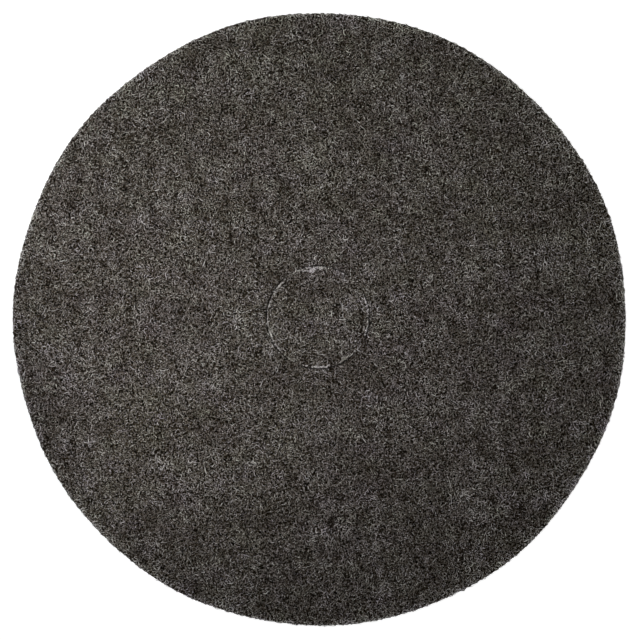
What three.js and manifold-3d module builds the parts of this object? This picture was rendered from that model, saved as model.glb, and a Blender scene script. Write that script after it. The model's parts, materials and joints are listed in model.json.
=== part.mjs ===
// Floor stripping pad: a round disc of open, lofty non-woven fibre web for a rotary floor machine.
// The disc is cut from the web in one stroke, together with a centre knock-out that stays in place:
// the centre cut is a ring of slits through the web, and the web left uncut between the slits holds
// the knock-out until the user pushes it out for a machine with a centre lock.
// Units are millimetres, +Z is up, and the origin is the middle of the face that lies on the floor.

import * as THREE from "three";
import { mergeVertices } from "three/addons/utils/BufferGeometryUtils.js";
import Module from "manifold-3d";

// Web and rim
const PAD_DIAMETER = 508;
const PAD_THICKNESS = 25.4;
const CUT_EDGE_RADIUS = 1.6; // the loose web rounds over wherever the die has cut it

// Centre cut
const KNOCKOUT_DIAMETER = 84;
const KERF_WIDTH = 1.1; // the slit as it stands open after the die is drawn out
const KNOCKOUT_LIFT = 0.9; // the die leaves the knock-out standing this far above the face
const CENTRE_OFFSET = new THREE.Vector2(-1.6, 1.7); // the centre die sits a little off the rim's centre
const BRIDGE_ARCS_DEG = [
  [28, 56],
  [113, 128],
  [229, 249],
  [318, 336],
]; // start and end of each uncut stretch, anticlockwise from +X
const BRIDGE_BITE = 3; // how far each bridge runs into the web on both sides of the kerf

// Smoothness of the round forms
const RIM_SIDES = 192;
const CENTRE_SIDES = 96;
const EDGE_STEPS = 3;
const BRIDGE_STEPS = 8;

const WEB_COLOUR = 0x423f3b;
const WEB_ROUGHNESS = 0.95;

const knockoutRadius = KNOCKOUT_DIAMETER / 2;
const holeRadius = knockoutRadius + KERF_WIDTH;

const wasm = await Module();
wasm.setup();

/** A closed three.js geometry as a solid that can be joined. */
function solidOf(geometry) {
  const bare = geometry.clone();
  bare.deleteAttribute("normal");
  bare.deleteAttribute("uv");
  const merged = mergeVertices(bare);
  return new wasm.Manifold(
    new wasm.Mesh({
      numProp: 3,
      vertProperties: merged.attributes.position.array,
      triVerts: new Uint32Array(merged.index.array),
    }),
  );
}

/** A joined solid as a three.js geometry. */
function geometryOf(solid) {
  const mesh = solid.getMesh();
  const geometry = new THREE.BufferGeometry();
  geometry.setAttribute("position", new THREE.BufferAttribute(mesh.vertProperties, 3));
  geometry.setIndex(new THREE.BufferAttribute(mesh.triVerts, 1));
  geometry.computeVertexNormals();
  return geometry;
}

/** The corners of a circle that is cut in the web. */
function circlePoints(radius, sides, centre) {
  return Array.from({ length: sides }, (_, i) => {
    const angle = (2 * Math.PI * i) / sides;
    return new THREE.Vector2(Math.cos(angle), Math.sin(angle)).multiplyScalar(radius).add(centre);
  });
}

/** Web of the full thickness, cut to an outline, with every cut edge rounded over. */
function cutWeb(outline) {
  const web = new THREE.ExtrudeGeometry(outline, {
    depth: PAD_THICKNESS - 2 * CUT_EDGE_RADIUS,
    bevelThickness: CUT_EDGE_RADIUS,
    bevelSize: CUT_EDGE_RADIUS,
    bevelOffset: -CUT_EDGE_RADIUS,
    bevelSegments: EDGE_STEPS,
  });
  return web.translate(0, 0, CUT_EDGE_RADIUS);
}

/** The working ring: everything between the rim and the centre cut. */
function workingRing() {
  const outline = new THREE.Shape(circlePoints(PAD_DIAMETER / 2, RIM_SIDES, new THREE.Vector2()));
  outline.holes.push(new THREE.Path(circlePoints(holeRadius, CENTRE_SIDES, CENTRE_OFFSET)));
  return cutWeb(outline);
}

/** The knock-out disc, standing proud on one face and sunk by as much on the other. */
function knockout() {
  const outline = new THREE.Shape(circlePoints(knockoutRadius, CENTRE_SIDES, CENTRE_OFFSET));
  return cutWeb(outline).translate(0, 0, KNOCKOUT_LIFT);
}

/** A stretch of uncut web across the kerf, flush with both faces of the ring. */
function bridge([startDeg, endDeg]) {
  const start = THREE.MathUtils.degToRad(startDeg);
  const end = THREE.MathUtils.degToRad(endDeg);
  const { x, y } = CENTRE_OFFSET;
  const outline = new THREE.Shape();
  outline.absarc(x, y, holeRadius + BRIDGE_BITE, start, end, false);
  outline.absarc(x, y, knockoutRadius - BRIDGE_BITE, end, start, true);
  return new THREE.ExtrudeGeometry(outline, {
    depth: PAD_THICKNESS,
    bevelEnabled: false,
    curveSegments: BRIDGE_STEPS,
  });
}

/** The whole pad as the one piece of web that it is. */
function stripping_pad() {
  const web = BRIDGE_ARCS_DEG.map((arc) => solidOf(bridge(arc))).reduce(
    (joined, stretch) => joined.add(stretch),
    solidOf(workingRing()).add(solidOf(knockout())),
  );
  const material = new THREE.MeshStandardMaterial({
    color: WEB_COLOUR,
    roughness: WEB_ROUGHNESS,
    metalness: 0,
  });
  const mesh = new THREE.Mesh(geometryOf(web), material);
  mesh.name = "stripping_pad";
  return mesh;
}

const pad = new THREE.Group();
pad.add(stripping_pad());

export default pad;
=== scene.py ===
# Floor stripping pad, dressed as the real web: crimped, resin-bonded fibres that lie every way in a slab.
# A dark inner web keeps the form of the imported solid, and thousands of single fibres make up its skin.
# Lengths are in metres, in the frame's own axes.
import json
import math
from dataclasses import dataclass, replace

import bpy
import numpy as np
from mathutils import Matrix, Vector

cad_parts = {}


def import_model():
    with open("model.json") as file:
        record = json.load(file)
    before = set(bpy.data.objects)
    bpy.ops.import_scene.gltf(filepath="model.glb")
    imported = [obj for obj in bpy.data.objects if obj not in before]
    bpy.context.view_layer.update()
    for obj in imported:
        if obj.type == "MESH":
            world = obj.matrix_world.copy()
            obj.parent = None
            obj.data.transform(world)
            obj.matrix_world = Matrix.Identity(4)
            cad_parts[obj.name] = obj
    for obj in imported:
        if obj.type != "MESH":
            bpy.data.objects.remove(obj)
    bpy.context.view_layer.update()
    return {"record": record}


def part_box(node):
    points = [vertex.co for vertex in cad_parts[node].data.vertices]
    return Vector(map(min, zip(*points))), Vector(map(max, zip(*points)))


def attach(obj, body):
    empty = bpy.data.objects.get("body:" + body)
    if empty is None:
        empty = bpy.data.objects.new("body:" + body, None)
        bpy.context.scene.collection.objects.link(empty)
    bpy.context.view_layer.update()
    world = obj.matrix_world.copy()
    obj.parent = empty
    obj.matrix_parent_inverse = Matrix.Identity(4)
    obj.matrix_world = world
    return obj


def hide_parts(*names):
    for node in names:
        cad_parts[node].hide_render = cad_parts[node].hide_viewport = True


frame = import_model()

MM = 0.001
TURN = 2 * math.pi
SEED = 20
BODY = "root"
UV_MAP = "OFBake"

# Sizes from the frame
pad_low, pad_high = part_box("stripping_pad")
mount_height = {mount["name"]: mount["pos_m"][2] for mount in frame["record"]["mounts"]}
RIM_RADIUS = (pad_high.x - pad_low.x) / 2
FACE_Z = mount_height["driver_face"]
KNOCKOUT_LIFT = pad_high.z - FACE_Z

# The centre cut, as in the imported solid
CENTRE = np.array((-1.6, 1.7)) * MM
KNOCKOUT_RADIUS = 42 * MM
KERF = 1.1 * MM
HOLE_RADIUS = KNOCKOUT_RADIUS + KERF
KERF_MIDDLE = KNOCKOUT_RADIUS + KERF / 2
BRIDGES_DEG = ((28, 56), (113, 128), (229, 249), (318, 336))
EDGE_RADIUS = 1.6 * MM

# How the web looks at the cut
BRIDGE_BLEND_DEG, BRIDGE_SLOPE = 4, 4 * MM
CUT_EDGE_RADIUS = 0.8 * MM
SHUT_DEG = ((56, 84), (200, 229))  # stretches where the slit has closed
SHUT_CROSSING = 0.7  # share of the fibres that lie across it there
BREAK_CROSSING = 2  # how fast fibres close the slit where the lip isn't whole

# Unevenness of the web
WAVES, WAVE_SPREAD = 20, (0.7, 1.6)
SWELL_LENGTH, SWELL = 45 * MM, 0.30 * MM
RELIEF_LENGTH, RELIEF = 7 * MM, 0.16 * MM
# Pits sink into the face, and the fibres in them are also darkened: painted shade
PIT_LENGTH, PIT_SHARE, PIT_DEPTH, PIT_PAINTED_SHADE = 2.4 * MM, 0.70, 1.0 * MM, 3.0
PIT_CLUSTER_LENGTH, PIT_CLUSTER = 14 * MM, 0.45
RIM_WAVES, RIM_WANDER = np.arange(2, 12), 0.7 * MM
WALL_RELIEF = 0.3 * MM

# Inner web
SKIN = 0.5 * MM  # depth of the single fibres over it
BODY_STEP = 3.4 * MM
ROW_STEP = BODY_STEP * math.sin(math.pi / 3)
FIRST_RING = 0.6 * BODY_STEP
LEAST_POINTS = 6
RING_JITTER, RING_STAGGER = 0.22, 0.25
CUT_POINTS = 144
CUT_ZONE = 2 * EDGE_RADIUS
RIM_ZONE = 0.985  # from this share of the way to the rim, points stand in columns
WALL_ROWS = 8
EDGE_STEPS = np.array((0, 0.25, 0.7, 1.6)) * MM
SLIT_GAP, SLIT_PINCH = 0.06 * MM, 0.25

# The inner web's map: half width and middle of each face, and a strip for each wall
UPPER_MAP = (0.34, (0.345, 0.655))
LOWER_MAP = (0.15, (0.845, 0.845))
MAP_FILL = 0.99
STRIP_START, STRIP_LENGTH = 0.01, 0.98
STRIP_LOW, STRIP_STEP, STRIP_HEIGHT = 0.02, 0.07, 0.055
RIM_STRIP, LIP_STRIP, HOLE_STRIP, END_STRIP = range(4)

# Tangle drawn on the inner web
WEB_WAYS, WEB_SHIFT = 4, (0.3, 0.7, 0.2)
WEB_LENGTH, WEB_WIDTH = 2.4 * MM, 0.72 * MM
WEB_BEND_SCALE, WEB_BEND = 400, 1.0 * MM
WEB_TINT_SCALE = 20
WEB_BUMP = 1.5 * MM

# Shades: place on the ramp, level of grey, and share more red and less blue
FIBRE_SHADES = ((0.0, 0.002, 0.65), (0.3, 0.025, 0.42), (0.6, 0.24, 0.068), (1.0, 0.90, 0.022))
WEB_SHADES = ((0.57, 0.0006, 0.65), (0.64, 0.005, 0.65), (0.70, 0.05, 0.34), (0.78, 0.24, 0.068))
OLIVE, NEUTRAL, PURPLE = (1.0, 1.05, 0.90), (1.0, 1.0, 1.0), (1.01, 0.95, 1.10)
FIBRE_ROUGHNESS, FIBRE_SPECULAR = 0.62, 0.04
WEB_ROUGHNESS, WEB_SPECULAR = 0.95, 0.05

# Single fibres
FIBRE_SIDES = 3
TOP_EDGE = 0.25  # share of a turn at which each tube has an edge, the top one
MAP_WIDTH, MAP_RANGE = 0.006, (0.01, 0.99)
GOLDEN_ANGLE = math.pi * (3 - math.sqrt(5))
STRAY = 0.2
PIT_TRIES, PIT_FILL = 40, 0.4
MOTTLE, MOTTLE_LENGTH = 0.06, 24 * MM
CLOUD, CLOUD_LENGTH = 0.055, 80 * MM
TINT, TINT_LENGTH = 0.18, 26 * MM
PLAIN_CAST, OLIVE_SIDE, CAST_SPREAD = 0.545, 0.22, 0.02
CUT_MARGIN = (-1.6 * MM, 0.2 * MM)
RIM_MARGIN = (-0.5 * MM, 0.4 * MM)
WALL_MARGIN = 0.3 * MM
RIM_SLANT = 0.4

# Paler fibres at the rim, a painted highlight on the knock-out's raised lip, partly its frayed pale
# fibres, and painted shade on the far side of the cut
RIM_PALE, RIM_PALE_REACH = 0.55, 2.5 * MM
LIP_HIGHLIGHT, LIP_HIGHLIGHT_REACH, LIP_HIGHLIGHT_LEAST = 0.34, 2.4 * MM, 0.42
LIP_BREAK_LENGTH, LIP_BREAK, LIP_MOST = 6 * MM, 0.25, 1.5
LIP_DEPTH, LIP_FRAY_DEPTH = 0.7 * MM, 2.0 * MM
LIP_OVER, LIP_SLANT = -0.1 * MM, 0.32
LIP_TRIES = 4
CUT_PAINTED_SHADE, CUT_PAINTED_SHADE_REACH = 0.02, 1.2 * MM

# Frayed stretches of the lip, which also get its painted highlight: middle and spread in degrees,
# anticlockwise from +X, and how frayed and brightened
LIP_FRAY_AND_HIGHLIGHT_DEG = (
    (14, 8, 0.3),
    (68, 8, 0.08),
    (98, 14, 1.25),
    (140, 10, 0.8),
    (160, 8, 0.3),
    (184, 7, 0.25),
    (200, 8, 0.25),
    (218, 8, 0.25),
    (240, 7, 0.2),
    (266, 9, 0.8),
    (286, 8, 0.85),
    (304, 8, 0.9),
    (350, 7, 0.2),
)

# Camera, with the image's sizes in pixels and the sensor's in millimetres
IMAGE_PIXELS = 640
DISC_PIXELS = 613.4
DISC_OFFSET_PIXELS = (-0.1, 0.7)
CAMERA_HEIGHT = 1.6
SENSOR = 36

# Floor and light
FLOOR_HALF, FLOOR_GREY, FLOOR_GLOW = 6.0, 0.5, 0.95
WORLD_LIGHT = 0.09
KEY_PLACE, KEY_AIM = (-0.06, 0.072, 0.27), (0.15, 0.15, 0)
KEY_SIZE, KEY_WATTS = (0.45, 0.57), 1.54
FILL_TURNS = {"fill_front": -0.16, "fill_right": 0.16, "fill_back": 0.5}
FILL_DISTANCE, FILL_HEIGHT = 1.1, 0.3
FILL_SIZE, FILL_WATTS = (0.6, 0.4), 2.2


# Layers of single fibres


@dataclass(frozen=True)
class Layer:
    """One layer of single fibres. Lengths are in metres, shades run from 0, black, to 1, pale."""

    count: int
    points: int
    length: tuple
    radius: tuple
    lift: tuple  # of the middle above the web
    tone: float
    sink: tuple = (0.2 * MM, 0.5 * MM)  # of the ends into the web
    wobble: float = 0.1 * MM
    crimp: float = 0.55  # bend at each point, in radians
    spread: float = 0.08  # of the tone from fibre to fibre
    glint: float = 0.16  # of the tone along each fibre


SHORT = Layer(
    count=33000,
    points=3,
    length=(2.0 * MM, 3.6 * MM),
    radius=(0.20 * MM, 0.30 * MM),
    lift=(0.3 * MM, 0.7 * MM),
    tone=0.605,
)
LONG = replace(SHORT, count=8000, points=4, length=(3 * MM, 5 * MM), crimp=0.7)
CURLED = replace(LONG, count=5500, points=5, length=(5 * MM, 8 * MM), lift=(0.4 * MM, 0.95 * MM))
# Thick black fibres laid only in the pits: painted shade of the pores
PIT_SHADE_FIBRES = replace(
    SHORT,
    count=15000,
    length=(1.6 * MM, 2.6 * MM),
    radius=(0.38 * MM, 0.58 * MM),
    lift=(0.45 * MM, 0.75 * MM),
    tone=0.0,
    spread=0.04,
    glint=0.04,
)
# Paler fibres along the knock-out's lip: painted highlight of the raised lip, partly frayed pale fibres
LIP = replace(
    LONG,
    count=700,
    length=(1.8 * MM, 3.4 * MM),
    lift=(0.3 * MM, 0.5 * MM),
    crimp=0.3,
    tone=0.70,
)
UPPER = {
    "upper_fibres_short": SHORT,
    "upper_fibres_short_too": SHORT,
    "upper_fibres_long": LONG,
    "upper_fibres_curled": CURLED,
}
LOWER = {
    "lower_fibres_short": replace(SHORT, count=12000),
    "lower_fibres_curled": replace(CURLED, count=2500),
}
RIM = {
    "rim_fibres_short": replace(SHORT, count=6000, tone=0.64),
    "rim_fibres_long": replace(LONG, count=3500, tone=0.64),
}

# Random fields of the web

rng = np.random.default_rng(SEED)


def ripples(wavelength):
    """A smooth random field over the plane, mostly within -1 and 1, with ripples of about this length."""
    heading = rng.uniform(0, TURN, WAVES)
    number = TURN / (wavelength * rng.uniform(*WAVE_SPREAD, WAVES))
    kx, ky = number * np.cos(heading), number * np.sin(heading)
    phase = rng.uniform(0, TURN, WAVES)

    def field(x, y):
        x, y = np.asarray(x)[..., None], np.asarray(y)[..., None]
        return np.sin(x * kx + y * ky + phase).sum(-1) / math.sqrt(WAVES)

    return field


swell = ripples(SWELL_LENGTH)
relief = ripples(RELIEF_LENGTH)
under_swell = ripples(SWELL_LENGTH)
wall_relief = ripples(RELIEF_LENGTH)
mottle = ripples(MOTTLE_LENGTH)
cloud = ripples(CLOUD_LENGTH)
tint = ripples(TINT_LENGTH)
lip_break = ripples(LIP_BREAK_LENGTH)
hollow = ripples(PIT_LENGTH)
pit_cluster = ripples(PIT_CLUSTER_LENGTH)
rim_phase = rng.uniform(0, TURN, len(RIM_WAVES))
rim_height = rng.normal(0, 1, len(RIM_WAVES)) / math.sqrt(len(RIM_WAVES))


def pit(x, y):
    """How deep in a pit of the web this place is: 0 over most of the face, and up to about 1."""
    return np.clip(hollow(x, y) + PIT_CLUSTER * pit_cluster(x, y) - PIT_SHARE, 0, 1)


def rim_radius(angle):
    """The rim's radius, which strays a little from a true circle."""
    wave = np.sin(np.asarray(angle)[..., None] * RIM_WAVES + rim_phase) * rim_height
    return RIM_RADIUS + RIM_WANDER * wave.sum(-1)


# Form of the web


def cut_drop(gap, radius=EDGE_RADIUS):
    """How far the web rounds over at this distance from a cut edge."""
    inward = np.clip(radius - gap, 0, radius)
    return radius - np.sqrt(radius**2 - inward**2)


def from_centre(x, y):
    """Distance and angle from the middle of the centre cut."""
    dx, dy = x - CENTRE[0], y - CENTRE[1]
    return np.hypot(dx, dy), np.arctan2(dy, dx)


def share_within(angle, stretches):
    """1 within these stretches of a circle, 0 outside them, with soft ends."""
    degrees = np.degrees(angle) % 360
    share = np.zeros_like(degrees)
    for start, end in stretches:
        inside = np.minimum(degrees - start, end - degrees)
        share = np.maximum(share, np.clip(inside / BRIDGE_BLEND_DEG + 0.5, 0, 1))
    return share


def uncut_share(angle):
    """1 where the centre cut is bridged, 0 where it is slit, with soft ends."""
    return share_within(angle, BRIDGES_DEG)


def lip_whole(angle):
    """How whole the knock-out's lip is here: about 1, and less where fibres lie across the cut."""
    x, y = KNOCKOUT_RADIUS * np.cos(angle), KNOCKOUT_RADIUS * np.sin(angle)
    return np.clip(1 + LIP_BREAK * lip_break(x, y), 0, LIP_MOST)


def lip_fray_and_highlight(angle):
    """How far the knock-out's lip is frayed and brightened with painted highlight: 0 where it is clean,
    and more the more fibres stand out.
    """
    degrees = np.degrees(angle)
    fray = np.zeros_like(degrees)
    for middle, spread, height in LIP_FRAY_AND_HIGHLIGHT_DEG:
        off = (degrees - middle + 180) % 360 - 180
        fray = np.maximum(fray, height * np.exp(-((off / spread) ** 2)))
    return fray * lip_whole(angle)


def lift_and_drop(x, y):
    """How far the knock-out lifts the web here, and how far the cut edges round it over."""
    distance, angle = from_centre(x, y)
    uncut = uncut_share(angle)
    step = distance < KERF_MIDDLE
    slope = np.clip((HOLE_RADIUS + BRIDGE_SLOPE - distance) / (2 * BRIDGE_SLOPE), 0, 1)
    lift = KNOCKOUT_LIFT * (uncut * slope + (1 - uncut) * step)
    cut_gap = np.where(step, KNOCKOUT_RADIUS - distance, distance - HOLE_RADIUS)
    rim_gap = rim_radius(np.arctan2(y, x)) - np.hypot(x, y)
    return lift, cut_drop(rim_gap) + (1 - uncut) * cut_drop(cut_gap, CUT_EDGE_RADIUS)


def upper_face(x, y):
    """Height of the web's upper face."""
    lift, drop = lift_and_drop(x, y)
    uneven = SWELL * (swell(x, y) - 1) + RELIEF * relief(x, y) - PIT_DEPTH * pit(x, y)
    return FACE_Z + lift - drop + uneven


def lower_face(x, y):
    """Height of the web's lower face, which lies on the floor."""
    lift, drop = lift_and_drop(x, y)
    return lift + drop + SWELL * (under_swell(x, y) + 1) / 2


def wall_radius(angle, z):
    """Radius of the rim's wall at this height."""
    rounding = cut_drop(FACE_Z - z) + cut_drop(z)
    unevenness = WALL_RELIEF * wall_relief(RIM_RADIUS * angle, z)
    return rim_radius(angle) - rounding + unevenness


# Materials


def new_material(name):
    """A material with its nodes, its links and its shader."""
    material = bpy.data.materials.new(name)
    material.use_nodes = True
    nodes = material.node_tree.nodes
    return material, nodes, material.node_tree.links, nodes["Principled BSDF"]


def ramp(nodes, links, place, stops):
    """Colours along a ramp with these stops, picked by this place on it."""
    node = nodes.new("ShaderNodeValToRGB")
    elements = node.color_ramp.elements
    while len(elements) < len(stops):
        elements.new(0.5)
    for element, (position, colour) in zip(elements, stops):
        element.position = position
        element.color = (*colour, 1)
    links.new(place, node.inputs["Fac"])
    return node.outputs["Color"]


def grey(level, warm):
    """The web's grey at this level, with this share more red and less blue."""
    return (level * (1 + warm), level, level * (1 - warm))


def web_colour(nodes, links, shades, shade, warmth):
    """A shade of grey with the web's cast, from olive through neutral to a reddish purple."""
    stops = [(position, grey(level, warm)) for position, level, warm in shades]
    colour = ramp(nodes, links, shade, stops)
    cast = ramp(nodes, links, warmth, ((0.0, OLIVE), (0.5, NEUTRAL), (1.0, PURPLE)))
    tinted = nodes.new("ShaderNodeMix")
    tinted.data_type = "RGBA"
    tinted.blend_type = "MULTIPLY"
    tinted.inputs["Factor"].default_value = 1
    links.new(colour, tinted.inputs["A"])
    links.new(cast, tinted.inputs["B"])
    return tinted.outputs["Result"]


def fibre_material():
    """Single fibres: shade runs along the map's U, and warmth along its V."""
    material, nodes, links, shader = new_material("resin_bonded_fibre")
    place = nodes.new("ShaderNodeUVMap")
    place.uv_map = UV_MAP
    split = nodes.new("ShaderNodeSeparateXYZ")
    links.new(place.outputs["UV"], split.inputs["Vector"])
    colour = web_colour(nodes, links, FIBRE_SHADES, split.outputs["X"], split.outputs["Y"])
    links.new(colour, shader.inputs["Base Color"])
    shader.inputs["Roughness"].default_value = FIBRE_ROUGHNESS
    shader.inputs["Specular IOR Level"].default_value = FIBRE_SPECULAR
    return material


def noise(nodes, links, place, scale, detail):
    """A noise texture at this place."""
    node = nodes.new("ShaderNodeTexNoise")
    node.inputs["Scale"].default_value = scale
    node.inputs["Detail"].default_value = detail
    links.new(place, node.inputs["Vector"])
    return node


def bent_place(nodes, links, place):
    """The place pushed about a little, so that what is drawn there bends."""
    bend = noise(nodes, links, place, WEB_BEND_SCALE, 1)
    push = nodes.new("ShaderNodeVectorMath")
    push.operation = "MULTIPLY_ADD"
    push.inputs[1].default_value = (WEB_BEND, WEB_BEND, WEB_BEND)
    links.new(bend.outputs["Color"], push.inputs[0])
    links.new(place, push.inputs[2])
    return push.outputs["Vector"]


def streaks(nodes, links, place, turn):
    """Noise drawn out along one of the web's ways."""
    way = nodes.new("ShaderNodeMapping")
    way.vector_type = "TEXTURE"
    way.inputs["Location"].default_value = [shift * turn for shift in WEB_SHIFT]
    way.inputs["Rotation"].default_value = (0, 0, math.pi * turn / WEB_WAYS)
    way.inputs["Scale"].default_value = (WEB_LENGTH, WEB_WIDTH, WEB_WIDTH)
    links.new(place, way.inputs["Vector"])
    return noise(nodes, links, way.outputs["Vector"], 1, 0).outputs["Fac"]


def web_material():
    """The inner web: a dark tangle of fibres, each a stretch of noise drawn out its own way."""
    material, nodes, links, shader = new_material("inner_fibre_web")
    place = nodes.new("ShaderNodeTexCoord").outputs["Object"]
    bent = bent_place(nodes, links, place)
    tangle = streaks(nodes, links, bent, 0)
    for turn in range(1, WEB_WAYS):
        over = nodes.new("ShaderNodeMath")
        over.operation = "MAXIMUM"
        links.new(tangle, over.inputs[0])
        links.new(streaks(nodes, links, bent, turn), over.inputs[1])
        tangle = over.outputs["Value"]
    patches = noise(nodes, links, place, WEB_TINT_SCALE, 1)
    colour = web_colour(nodes, links, WEB_SHADES, tangle, patches.outputs["Fac"])
    links.new(colour, shader.inputs["Base Color"])
    bump = nodes.new("ShaderNodeBump")
    bump.inputs["Strength"].default_value = 1
    bump.inputs["Distance"].default_value = WEB_BUMP
    links.new(tangle, bump.inputs["Height"])
    links.new(bump.outputs["Normal"], shader.inputs["Normal"])
    shader.inputs["Roughness"].default_value = WEB_ROUGHNESS
    shader.inputs["Specular IOR Level"].default_value = WEB_SPECULAR
    return material


web_finish = web_material()
fibre_finish = fibre_material()


def make_piece(name, vertices, faces, face_uv, material):
    """A smooth-shaded mesh object that rides on the pad's one body."""
    mesh = bpy.data.meshes.new(name)
    mesh.from_pydata(vertices, [], faces)
    layer = mesh.uv_layers.new(name=UV_MAP)
    layer.data.foreach_set("uv", np.asarray(face_uv, np.float32).ravel())
    mesh.materials.append(material)
    mesh.shade_smooth()
    piece = bpy.data.objects.new(name, mesh)
    bpy.context.scene.collection.objects.link(piece)
    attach(piece, BODY)
    return piece


# Inner web


def ring_turns(count, stagger):
    """Places round a ring, as shares of a turn."""
    jitter = rng.uniform(-RING_JITTER, RING_JITTER, count) if stagger else np.zeros(count)
    return (np.arange(count) + jitter + RING_STAGGER * stagger) / count


def zip_rings(inner, inner_turns, outer, outer_turns):
    """Triangles between two rings of points, given each ring's first vertex and its places."""
    n, m = len(inner_turns), len(outer_turns)
    inner_next = np.append(inner_turns[1:], inner_turns[0] + 1)
    outer_next = np.append(outer_turns[1:], outer_turns[0] + 1)
    triangles = []
    i = j = 0
    while i < n or j < m:
        a, b = inner + i % n, outer + j % m
        if j == m or (i < n and inner_next[i] <= outer_next[j]):
            i += 1
            triangles.append((a, b, inner + i % n))
        else:
            j += 1
            triangles.append((a, b, outer + j % m))
    return triangles


def web_rings():
    """The rings of points that both faces share, the knock-out's and then the working ring's.

    Each has its radius, its share of the way from the cut to the rim, and whether it lies at the cut.
    """
    edge = EDGE_STEPS[::-1]
    inner_rows = round((KNOCKOUT_RADIUS - edge[0]) / ROW_STEP)
    inner = np.linspace(FIRST_RING, KNOCKOUT_RADIUS - edge[0], inner_rows)
    inner = np.append(inner, KNOCKOUT_RADIUS - edge[1:])
    span = RIM_RADIUS - HOLE_RADIUS
    outer_rows = round((span - 2 * edge[0]) / ROW_STEP)
    outer = np.linspace(HOLE_RADIUS + edge[0], RIM_RADIUS - edge[0], outer_rows)
    outer = np.concatenate((HOLE_RADIUS + EDGE_STEPS[:-1], outer, RIM_RADIUS - edge[1:]))
    rings = []
    for radius in inner:
        rings.append((radius, 0.0, abs(radius - KNOCKOUT_RADIUS) < CUT_ZONE))
    for radius in outer:
        share = (radius - HOLE_RADIUS) / span
        rings.append((radius, share, abs(radius - HOLE_RADIUS) < CUT_ZONE))
    return rings, len(inner)


def web_points(rings):
    """The points of a face: each ring's first point, each ring's places, and all the points."""
    starts, turns, places = [], [], []
    total = 0
    for index, (radius, share, at_cut) in enumerate(rings):
        in_columns = at_cut or share > RIM_ZONE
        count = CUT_POINTS if at_cut else max(LEAST_POINTS, round(TURN * radius / BODY_STEP))
        where = ring_turns(count, 0 if in_columns else 1 + index % 2)
        angle = where * TURN
        reach = radius - share * (RIM_RADIUS - rim_radius(angle) + SKIN)
        circle = np.stack((np.cos(angle), np.sin(angle)), 1)
        places.append(CENTRE * (1 - share) + reach[:, None] * circle)
        starts.append(total)
        turns.append(where)
        total += count
    return starts, turns, np.concatenate(places)


def face_triangles(starts, turns, inner_count, bridged):
    """Triangles of the upper face: the knock-out, the working ring and the bridges between them."""
    triangles = [(0, k, k + 1) for k in range(1, len(turns[0]) - 1)]
    for k in range(len(starts) - 1):
        if k + 1 != inner_count:
            triangles += zip_rings(starts[k], turns[k], starts[k + 1], turns[k + 1])
    lip, hole = starts[inner_count - 1], starts[inner_count]
    for k in np.flatnonzero(bridged):
        after = (k + 1) % CUT_POINTS
        triangles.append((lip + k, hole + k, hole + after))
        triangles.append((lip + k, hole + after, lip + after))
    return triangles


def face_place(vertex, face_map):
    """Where a point of a face lies on the body's map."""
    half, middle = face_map
    x, y = vertex[0] / RIM_RADIUS, vertex[1] / RIM_RADIUS
    return (middle[0] + half * MAP_FILL * x, middle[1] + half * MAP_FILL * y)


def wall_place(along, up, strip):
    """Where a point of a wall lies on the body's map."""
    return (STRIP_START + STRIP_LENGTH * along, STRIP_LOW + STRIP_STEP * strip + STRIP_HEIGHT * up)


def on_rim(place, share):
    """This place in a wall, moved out to the rim's uneven surface at any share of the way down."""
    angle = math.atan2(place[1], place[0])
    place[:2] *= (wall_radius(angle, place[2]) - SKIN) / math.hypot(*place[:2])
    return place


def in_slit(place, share):
    """This place in a wall, moved to the middle of the slit, whose sides all but meet half way down."""
    arm = place[:2] - CENTRE
    reach = math.hypot(*arm)
    closed = KERF_MIDDLE + math.copysign(SLIT_GAP / 2, reach - KERF_MIDDLE)
    pinch = math.sin(math.pi * share) ** SLIT_PINCH
    place[:2] = CENTRE + arm * (1 + pinch * (closed / reach - 1))
    return place


class Shell:
    """The inner web's mesh as it grows. Each point of the upper face has its mate on the lower one."""

    def __init__(self, top, bottom):
        self.mate = len(top)
        self.vertices = [*map(tuple, top), *map(tuple, bottom)]
        self.faces = []
        self.face_uv = []

    def add_faces(self, triangles):
        """These triangles on the upper face, and their mates on the lower one."""
        below = [tuple(self.mate + v for v in reversed(t)) for t in triangles]
        self.faces += [*triangles, *below]
        self.face_uv += [face_place(self.vertices[v], UPPER_MAP) for t in triangles for v in t]
        self.face_uv += [face_place(self.vertices[v], LOWER_MAP) for t in below for v in t]

    def column(self, vertex, moved):
        """Vertices down a wall from a point on the upper face to its mate on the lower one."""
        high, low = np.array(self.vertices[vertex]), np.array(self.vertices[self.mate + vertex])
        made = [vertex]
        for row in range(1, WALL_ROWS):
            share = row / WALL_ROWS
            made.append(len(self.vertices))
            self.vertices.append(tuple(moved(high + (low - high) * share, share)))
        return [*made, self.mate + vertex]

    def add_wall(self, left, right, strip, begin, end):
        """Quads between two columns, as seen from outside."""
        for row in range(WALL_ROWS):
            self.faces.append((left[row], left[row + 1], right[row + 1], right[row]))
            high, low = 1 - row / WALL_ROWS, 1 - (row + 1) / WALL_ROWS
            corners = ((begin, high), (begin, low), (end, low), (end, high))
            self.face_uv.extend(wall_place(along, up, strip) for along, up in corners)


def add_rim_wall(shell, rim, count):
    """The wall round the rim."""
    columns = [shell.column(rim + k, on_rim) for k in range(count)]
    for k in range(count):
        after = (k + 1) % count
        shell.add_wall(columns[k], columns[after], RIM_STRIP, k / count, (k + 1) / count)


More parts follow.
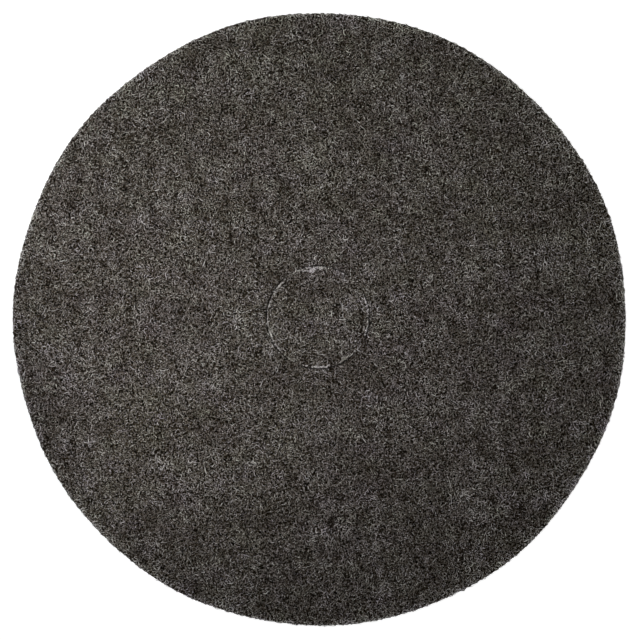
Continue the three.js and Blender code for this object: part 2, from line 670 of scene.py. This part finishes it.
def add_slit_walls(shell, lip, hole, bridged):
    """The walls of the slits: the knock-out's, the working ring's, and the ends at the bridges."""
    used = np.flatnonzero(~bridged | ~np.roll(bridged, 1))
    lip_columns = {k: shell.column(lip + k, in_slit) for k in used}
    hole_columns = {k: shell.column(hole + k, in_slit) for k in used}
    for k in range(CUT_POINTS):
        after = (k + 1) % CUT_POINTS
        begin, end = k / CUT_POINTS, (k + 1) / CUT_POINTS
        if not bridged[k]:
            shell.add_wall(lip_columns[k], lip_columns[after], LIP_STRIP, begin, end)
            shell.add_wall(hole_columns[after], hole_columns[k], HOLE_STRIP, begin, end)
        if bridged[k - 1] and not bridged[k]:
            shell.add_wall(hole_columns[k], lip_columns[k], END_STRIP, begin, end)
        if bridged[k] and not bridged[k - 1]:
            shell.add_wall(lip_columns[k], hole_columns[k], END_STRIP, begin, end)


def inner_web():
    """The closed dark body: two uneven faces, the rim's wall and the walls of the slits."""
    rings, inner_count = web_rings()
    starts, turns, flat = web_points(rings)
    x, y = flat.T
    top = np.column_stack((flat, upper_face(x, y) - SKIN))
    bottom = np.column_stack((flat, lower_face(x, y) + SKIN))
    middles = (np.arange(CUT_POINTS) + 0.5) / CUT_POINTS * TURN
    bridged = uncut_share(middles) > 0.5
    shell = Shell(top, bottom)
    shell.add_faces(face_triangles(starts, turns, inner_count, bridged))
    add_rim_wall(shell, starts[-1], len(turns[-1]))
    add_slit_walls(shell, starts[inner_count - 1], starts[inner_count], bridged)
    return make_piece("inner_web", shell.vertices, shell.faces, shell.face_uv, web_finish)


# Single fibres


def wander(layer, heading):
    """Flat crimped paths, each about its own middle: count x points x 2."""
    shape = (layer.count, layer.points - 1)
    bends = np.cumsum(rng.normal(0, layer.crimp, shape), axis=1)
    heading = heading[:, None] + bends - bends.mean(axis=1, keepdims=True)
    step = rng.uniform(*layer.length, layer.count)[:, None] / (layer.points - 1)
    path = np.zeros((layer.count, layer.points, 2))
    path[:, 1:, 0] = np.cumsum(np.cos(heading) * step, axis=1)
    path[:, 1:, 1] = np.cumsum(np.sin(heading) * step, axis=1)
    return path - path.mean(axis=1, keepdims=True)


def arch(layer):
    """Height of each fibre above the web along its path: both ends are sunk, the middle stands up."""
    rise = np.sqrt(np.sin(math.pi * np.linspace(0, 1, layer.points)))
    lift = rng.uniform(*layer.lift, layer.count)[:, None]
    sink = rng.uniform(*layer.sink, layer.count)[:, None]
    return (lift + sink) * rise - sink + rng.normal(0, layer.wobble, (layer.count, layer.points))


def shades(layer, x, y):
    """Each fibre's shade along its path, and its warmth."""
    own = rng.normal(layer.tone, layer.spread, (layer.count, 1))
    tone = own + layer.glint * rng.normal(0, 1, x.shape)
    # Fibres in the pits are darkened: painted shade, on top of the pits' real depth
    tone += MOTTLE * mottle(x, y) + CLOUD * cloud(x, y) - PIT_PAINTED_SHADE * pit(x, y)
    x, y = x.mean(axis=1), y.mean(axis=1)
    warmth = PLAIN_CAST + TINT * tint(x, y) - OLIVE_SIDE * np.maximum(y, 0) / RIM_RADIUS
    warmth += rng.normal(0, CAST_SPREAD, layer.count)
    return tone, warmth


def tube_faces(rows):
    """Faces of one closed tube: quads between its rings, and triangles at its two points."""
    here = np.arange(FIBRE_SIDES)
    after = (here + 1) % FIBRE_SIDES
    ring = 1 + FIBRE_SIDES * np.arange(rows - 1)[:, None]
    below = ring + FIBRE_SIDES
    quads = np.stack((ring + here, ring + after, below + after, below + here), -1).reshape(-1, 4)
    first = np.stack((np.zeros_like(here), 1 + after, 1 + here), -1)
    last_ring = 1 + FIBRE_SIDES * (rows - 1)
    end = np.full_like(here, last_ring + FIBRE_SIDES)
    last = np.stack((end, last_ring + here, last_ring + after), -1)
    return quads, np.concatenate((first, last))


def fibres(name, layer, paths, up, radius, tone, warmth):
    """Closed tubes along the paths, drawn to a point at both ends, with shade and warmth in their map."""
    tangent = np.gradient(paths, axis=1)
    side = np.cross(tangent, up)
    side /= np.linalg.norm(side, axis=2, keepdims=True)
    ridge = np.cross(side, tangent)
    ridge /= np.linalg.norm(ridge, axis=2, keepdims=True)
    angle = TURN * (np.arange(FIBRE_SIDES) / FIBRE_SIDES + TOP_EDGE)[None, None, :, None]
    across = np.cos(angle) * side[:, 1:-1, None] + np.sin(angle) * ridge[:, 1:-1, None]
    rings = paths[:, 1:-1, None] + radius[:, None, None, None] * across
    rings = rings.reshape(layer.count, -1, 3)
    vertices = np.concatenate((paths[:, :1], rings, paths[:, -1:]), axis=1)
    rows = layer.points - 2
    quads, tips = tube_faces(rows)
    offset = vertices.shape[1] * np.arange(layer.count)[:, None, None]
    quads = (quads + offset).reshape(-1, 4)
    tips = (tips + offset).reshape(-1, 3)
    shade = np.repeat(tone, (1, *[FIBRE_SIDES] * rows, 1), axis=1)
    around = np.concatenate(((0,), np.tile(np.arange(FIBRE_SIDES) - 1, rows), (0,))) * MAP_WIDTH
    place = np.stack((shade, warmth[:, None] + around), -1).reshape(-1, 2).clip(*MAP_RANGE)
    corners = np.concatenate((quads.ravel(), tips.ravel()))
    faces = [*quads.tolist(), *tips.tolist()]
    make_piece(name, vertices.reshape(-1, 3), faces, place[corners], fibre_finish)


def even_places(count):
    """Places spread evenly over the face, each strayed a little, in no order."""
    index = rng.permutation(count) + 0.5
    radius = RIM_RADIUS * np.sqrt(index / count)
    angle = GOLDEN_ANGLE * index
    stray = STRAY * RIM_RADIUS * math.sqrt(math.pi / count)
    spiral = np.stack((radius * np.cos(angle), radius * np.sin(angle)), -1)
    return spiral + rng.normal(0, stray, (count, 2))


def pit_places(count):
    """Places in the pits of the face."""
    place = even_places(PIT_TRIES * count)
    return place[pit(place[:, 0], place[:, 1]) > rng.uniform(0, PIT_FILL, len(place))][:count]


def face_places(layers):
    """Places over the face, shared out between these layers."""
    counts = [layer.count for layer in layers]
    return np.split(even_places(sum(counts)), np.cumsum(counts)[:-1])


def keep_on_web(path):
    """Moves each path inside the rim, and off the centre cut to the side that its middle is on."""
    cut_margin = rng.uniform(*CUT_MARGIN, len(path))
    rim_margin = rng.uniform(*RIM_MARGIN, len(path))
    middle = path.mean(axis=1)
    reach = np.linalg.norm(path, axis=2) - rim_radius(np.arctan2(path[..., 1], path[..., 0]))
    over = np.maximum(reach.max(axis=1) + rim_margin, 0)
    path = path - (over / np.linalg.norm(middle, axis=1))[:, None, None] * middle[:, None]
    distance = from_centre(path[..., 0], path[..., 1])[0]
    middle = path.mean(axis=1) - CENTRE
    far = np.linalg.norm(middle, axis=1)
    angle = np.arctan2(middle[:, 1], middle[:, 0])
    shut = np.maximum(share_within(angle, SHUT_DEG), BREAK_CROSSING * (1 - lip_whole(angle)))
    crossing = rng.uniform(0, 1, len(path)) < SHUT_CROSSING * shut
    slit = (uncut_share(angle) < 0.5) & ~crossing
    inward = np.maximum((distance - KNOCKOUT_RADIUS).max(axis=1) + cut_margin, 0)
    outward = np.maximum((HOLE_RADIUS - distance).max(axis=1) + cut_margin, 0)
    move = np.where(far < KERF_MIDDLE, -inward, outward) * slit
    return path + (move / far)[:, None, None] * middle[:, None]


def edge_shade(x, y):
    """How much paler the fibres are at the rim, how much the knock-out's lip is brightened, a painted
    highlight that is partly its frayed fibres, and how much painted shade darkens across the cut.
    """
    distance, angle = from_centre(x, y)
    rim_gap = rim_radius(np.arctan2(y, x)) - np.hypot(x, y)
    pale = RIM_PALE * np.exp(-np.maximum(rim_gap, 0) / RIM_PALE_REACH)
    inner_gap = np.maximum(KNOCKOUT_RADIUS - distance, 0)
    # Painted highlight on the knock-out's raised lip, partly its frayed pale fibres
    lip_highlight = LIP_HIGHLIGHT * (LIP_HIGHLIGHT_LEAST * lip_whole(angle) + lip_fray_and_highlight(angle))
    lip = lip_highlight * np.exp(-inner_gap / LIP_HIGHLIGHT_REACH)
    outer_gap = np.maximum(distance - HOLE_RADIUS, 0)
    # Painted shade on the working ring beside the cut, below the raised knock-out
    shadow = -CUT_PAINTED_SHADE * np.exp(-outer_gap / CUT_PAINTED_SHADE_REACH)
    return pale + np.where(distance < KERF_MIDDLE, lip, shadow)


def face_fibres(name, layer, places, upper=True):
    """One layer of fibres at these places on a face of the pad."""
    path = wander(layer, rng.uniform(0, TURN, layer.count)) + places[:, None]
    path = keep_on_web(path)
    x, y = path[..., 0], path[..., 1]
    radius = rng.uniform(*layer.radius, layer.count)
    if upper:
        z = upper_face(x, y) - SKIN + arch(layer)
    else:
        z = np.maximum(lower_face(x, y) + SKIN - arch(layer), radius[:, None])
    tone, warmth = shades(layer, x, y)
    up = (0, 0, 1 if upper else -1)
    fibres(name, layer, np.stack((x, y, z), -1), up, radius, tone + edge_shade(x, y), warmth)


def lip_fibres(name, layer):
    """Frayed fibres along the knock-out's cut lip, which stands proud of the face."""
    angle = rng.uniform(0, TURN, LIP_TRIES * layer.count)
    angle = angle[rng.uniform(0, 1, len(angle)) < lip_fray_and_highlight(angle)][: layer.count]
    layer = replace(layer, count=len(angle))
    heading = angle + rng.normal(TURN / 4, LIP_SLANT, layer.count)
    inward = LIP_DEPTH + LIP_FRAY_DEPTH * lip_fray_and_highlight(angle) ** 2
    distance = KNOCKOUT_RADIUS + LIP_OVER - rng.uniform(0, 1, layer.count) * inward
    start = CENTRE + distance[:, None] * np.stack((np.cos(angle), np.sin(angle)), -1)
    path = wander(layer, heading) + start[:, None]
    x, y = path[..., 0], path[..., 1]
    z = FACE_Z + KNOCKOUT_LIFT - SKIN + arch(layer)
    tone, warmth = shades(layer, x, y)
    radius = rng.uniform(*layer.radius, layer.count)
    fibres(name, layer, np.stack((x, y, z), -1), (0, 0, 1), radius, tone, warmth)


def rim_fibres(name, layer):
    """Fibres over the rim's wall, lying mostly along it as the web was laid."""
    heading = rng.normal(0, RIM_SLANT, layer.count) + math.pi * rng.integers(0, 2, layer.count)
    path = wander(layer, heading)
    path[..., 0] += rng.uniform(0, TURN * RIM_RADIUS, layer.count)[:, None]
    path[..., 1] += rng.uniform(0, FACE_Z, layer.count)[:, None]
    path[..., 1] -= np.maximum(path[..., 1].max(axis=1) - FACE_Z + WALL_MARGIN, 0)[:, None]
    path[..., 1] += np.maximum(WALL_MARGIN - path[..., 1].min(axis=1), 0)[:, None]
    angle, z = path[..., 0] / RIM_RADIUS, path[..., 1]
    reach = wall_radius(angle, z) - SKIN + arch(layer)
    x, y = reach * np.cos(angle), reach * np.sin(angle)
    middle = angle.mean(axis=1)
    up = np.stack((np.cos(middle), np.sin(middle), np.zeros(layer.count)), -1)[:, None]
    tone, warmth = shades(layer, x, y)
    radius = rng.uniform(*layer.radius, layer.count)
    fibres(name, layer, np.stack((x, y, z), -1), up, radius, tone, warmth)


# Pieces

body = inner_web()
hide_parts("stripping_pad")
# Black fibres in the pits, as painted shade
face_fibres("upper_fibres_pit_shade", PIT_SHADE_FIBRES, pit_places(PIT_SHADE_FIBRES.count))
for (name, layer), places in zip(UPPER.items(), face_places(UPPER.values())):
    face_fibres(name, layer, places)
for (name, layer), places in zip(LOWER.items(), face_places(LOWER.values())):
    face_fibres(name, layer, places, upper=False)
lip_fibres("knockout_lip_fibres", LIP)
for name, layer in RIM.items():
    rim_fibres(name, layer)

# Stage


def seen_rays(nodes, links):
    """1 for the rays that show the background as it is: straight, off gloss or through glass."""
    path = nodes.new("ShaderNodeLightPath")
    seen = path.outputs["Is Camera Ray"]
    for kind in ("Is Glossy Ray", "Is Transmission Ray"):
        either = nodes.new("ShaderNodeMath")
        either.operation = "MAXIMUM"
        links.new(seen, either.inputs[0])
        links.new(path.outputs[kind], either.inputs[1])
        seen = either.outputs["Value"]
    return seen


def floor_material():
    """A matt surface that takes the shadow, with a glow that makes it white to look at."""
    material = bpy.data.materials.new("floor_white")
    material.use_nodes = True
    nodes, links = material.node_tree.nodes, material.node_tree.links
    nodes.clear()
    out = nodes.new("ShaderNodeOutputMaterial")
    matt = nodes.new("ShaderNodeBsdfDiffuse")
    matt.inputs["Color"].default_value = (FLOOR_GREY, FLOOR_GREY, FLOOR_GREY, 1)
    level = nodes.new("ShaderNodeMath")
    level.operation = "MULTIPLY"
    level.inputs[1].default_value = FLOOR_GLOW
    links.new(seen_rays(nodes, links), level.inputs[0])
    glow = nodes.new("ShaderNodeEmission")
    links.new(level.outputs["Value"], glow.inputs["Strength"])
    both = nodes.new("ShaderNodeAddShader")
    links.new(matt.outputs["BSDF"], both.inputs[0])
    links.new(glow.outputs["Emission"], both.inputs[1])
    links.new(both.outputs["Shader"], out.inputs["Surface"])
    return material


def floor():
    """A plain white floor that keeps the pad's shadow."""
    mesh = bpy.data.meshes.new("floor")
    corners = [(x * FLOOR_HALF, y * FLOOR_HALF, 0) for x, y in ((-1, -1), (1, -1), (1, 1), (-1, 1))]
    mesh.from_pydata(corners, [], [(0, 1, 2, 3)])
    mesh.materials.append(floor_material())
    plane = bpy.data.objects.new("floor", mesh)
    bpy.context.scene.collection.objects.link(plane)


def world():
    """White behind everything, and a soft light from all round."""
    made = bpy.data.worlds.new("studio")
    bpy.context.scene.world = made
    made.use_nodes = True
    nodes, links = made.node_tree.nodes, made.node_tree.links
    level = nodes.new("ShaderNodeMapRange")
    level.inputs["To Min"].default_value = WORLD_LIGHT
    level.inputs["To Max"].default_value = 1
    links.new(seen_rays(nodes, links), level.inputs["Value"])
    back = nodes["Background"]
    back.inputs["Color"].default_value = (1, 1, 1, 1)
    links.new(level.outputs["Result"], back.inputs["Strength"])


def lamp(name, place, aim, size, watts):
    """An oblong soft box."""
    light = bpy.data.lights.new(name, "AREA")
    light.shape = "RECTANGLE"
    light.size, light.size_y = size
    light.energy = watts
    holder = bpy.data.objects.new(name, light)
    holder.location = place
    direction = Vector(aim) - holder.location
    holder.rotation_euler = direction.to_track_quat("-Z", "Y").to_euler()
    holder.visible_camera = False
    bpy.context.scene.collection.objects.link(holder)


def camera():
    """Straight down, with the disc as large and where the photograph has it."""
    data = bpy.data.cameras.new("camera")
    widest_z = FACE_Z - EDGE_RADIUS
    frame_width = 2 * RIM_RADIUS * IMAGE_PIXELS / DISC_PIXELS
    data.sensor_width = SENSOR
    data.lens = SENSOR * (CAMERA_HEIGHT - widest_z) / frame_width
    pixel = frame_width / IMAGE_PIXELS
    holder = bpy.data.objects.new("camera", data)
    holder.location = (-DISC_OFFSET_PIXELS[0] * pixel, -DISC_OFFSET_PIXELS[1] * pixel, CAMERA_HEIGHT)
    bpy.context.scene.collection.objects.link(holder)
    bpy.context.scene.camera = holder


floor()
world()
lamp("key", KEY_PLACE, KEY_AIM, KEY_SIZE, KEY_WATTS)
for name, turn in FILL_TURNS.items():
    away = TURN * turn
    place = (FILL_DISTANCE * math.cos(away), FILL_DISTANCE * math.sin(away), FILL_HEIGHT)
    lamp(name, place, (0, 0, FACE_Z / 2), FILL_SIZE, FILL_WATTS)
camera()
bpy.context.scene.view_settings.view_transform = "Standard"
